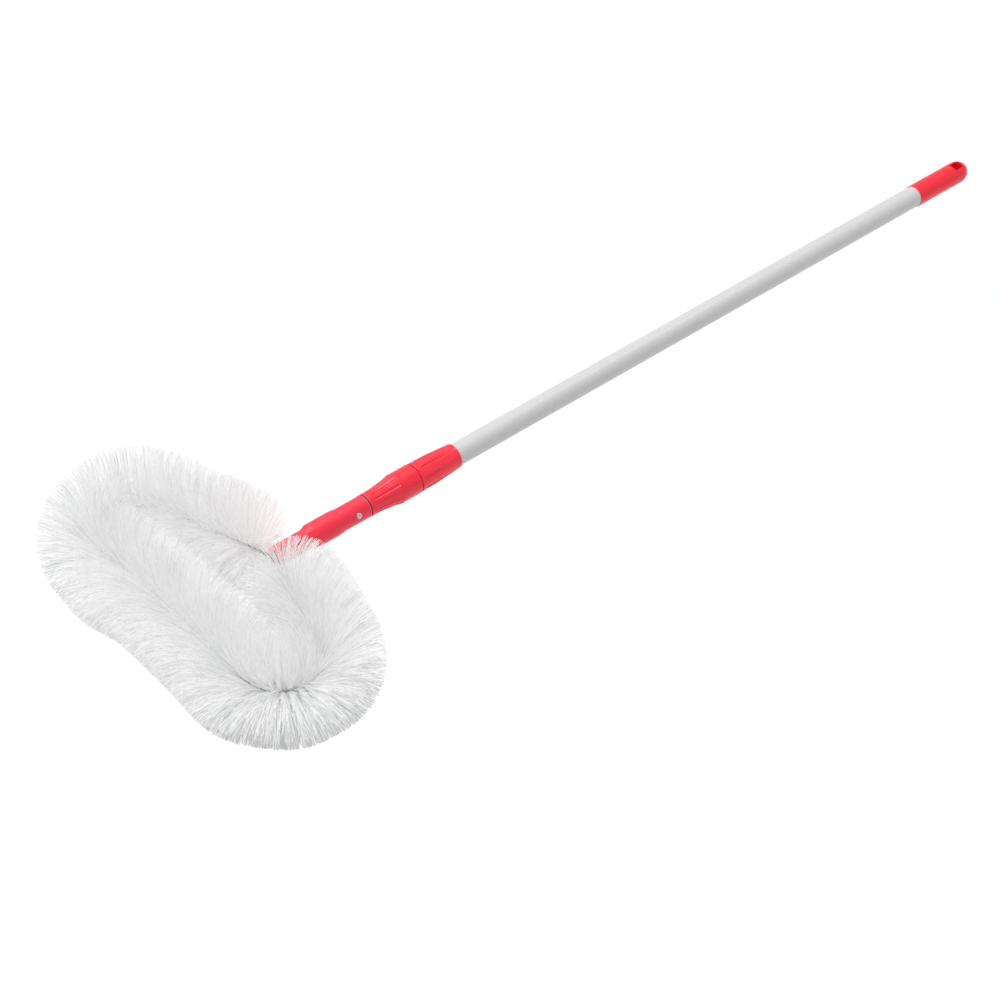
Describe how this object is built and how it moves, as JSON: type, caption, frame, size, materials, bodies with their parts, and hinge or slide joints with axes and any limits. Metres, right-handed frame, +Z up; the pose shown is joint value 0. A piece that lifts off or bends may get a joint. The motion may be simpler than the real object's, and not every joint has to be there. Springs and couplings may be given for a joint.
{
  "type": "telescopic cobweb brush",
  "caption": "Telescopic cobweb brush: a looped twisted-wire head of white bristles on a sliding grey tube pole with a red twist lock, red socket and a red hang cap.",
  "frame": {"origin": "on the surface that the brush head lies on, under the middle of the brush pushed in", "axes": "+X along the pole from the brush head to the hang cap, +Y across the wire loop, +Z up, square to the plane of the loop"},
  "size_m": [1.2179, 0.4462, 0.118],
  "materials": {
    "tube_coat": "satin",
    "red_plastic": "gloss",
    "lock_plastic": "satin",
    "rivet_metal": "satin",
    "mandrel_steel": "satin",
    "core_wire": "satin",
    "bristle": "matte"
  },
  "bodies": {
    "outer_pole": {"outer_tube": "tube_coat", "hang_cap": "red_plastic", "lock_sleeve": "red_plastic"},
    "collet": {"lock_collet": "lock_plastic"},
    "nut": {"lock_nut": "red_plastic"},
    "guide": {"guide_bush": "lock_plastic"},
    "inner_pole": {"inner_tube": "tube_coat", "brush_socket": "red_plastic", "socket_rivet": "rivet_metal", "rivet_mandrel": "mandrel_steel", "core_wire_a": "core_wire", "core_wire_b": "core_wire", "bristles_far": "bristle", "bristles_end_left": "bristle", "bristles_end_right": "bristle", "bristles_leg_left": "bristle", "bristles_leg_right": "bristle"}
  },
  "joints": [
    {"name": "collet_travel", "type": "slide", "parent": "outer_pole", "child": "collet", "axis": [-1, 0, 0], "range_m": [0, 0.00133]},
    {"name": "nut_twist", "type": "hinge", "parent": "collet", "child": "nut", "pos_m": [-0.27545, 0, 0.059], "axis": [-1, 0, 0], "range_deg": [0, 120]},
    {"name": "telescope", "type": "slide", "parent": "outer_pole", "child": "guide", "axis": [-1, 0, 0], "range_m": [0, 0.62]},
    {"name": "head_swivel", "type": "hinge", "parent": "guide", "child": "inner_pole", "pos_m": [-0.27545, 0, 0.059], "axis": [1, 0, 0], "continuous": true}
  ],
  "couplings": [
    {"joint": "collet_travel", "follows": "nut_twist", "m_per_rad": 0.00063662}
  ]
}
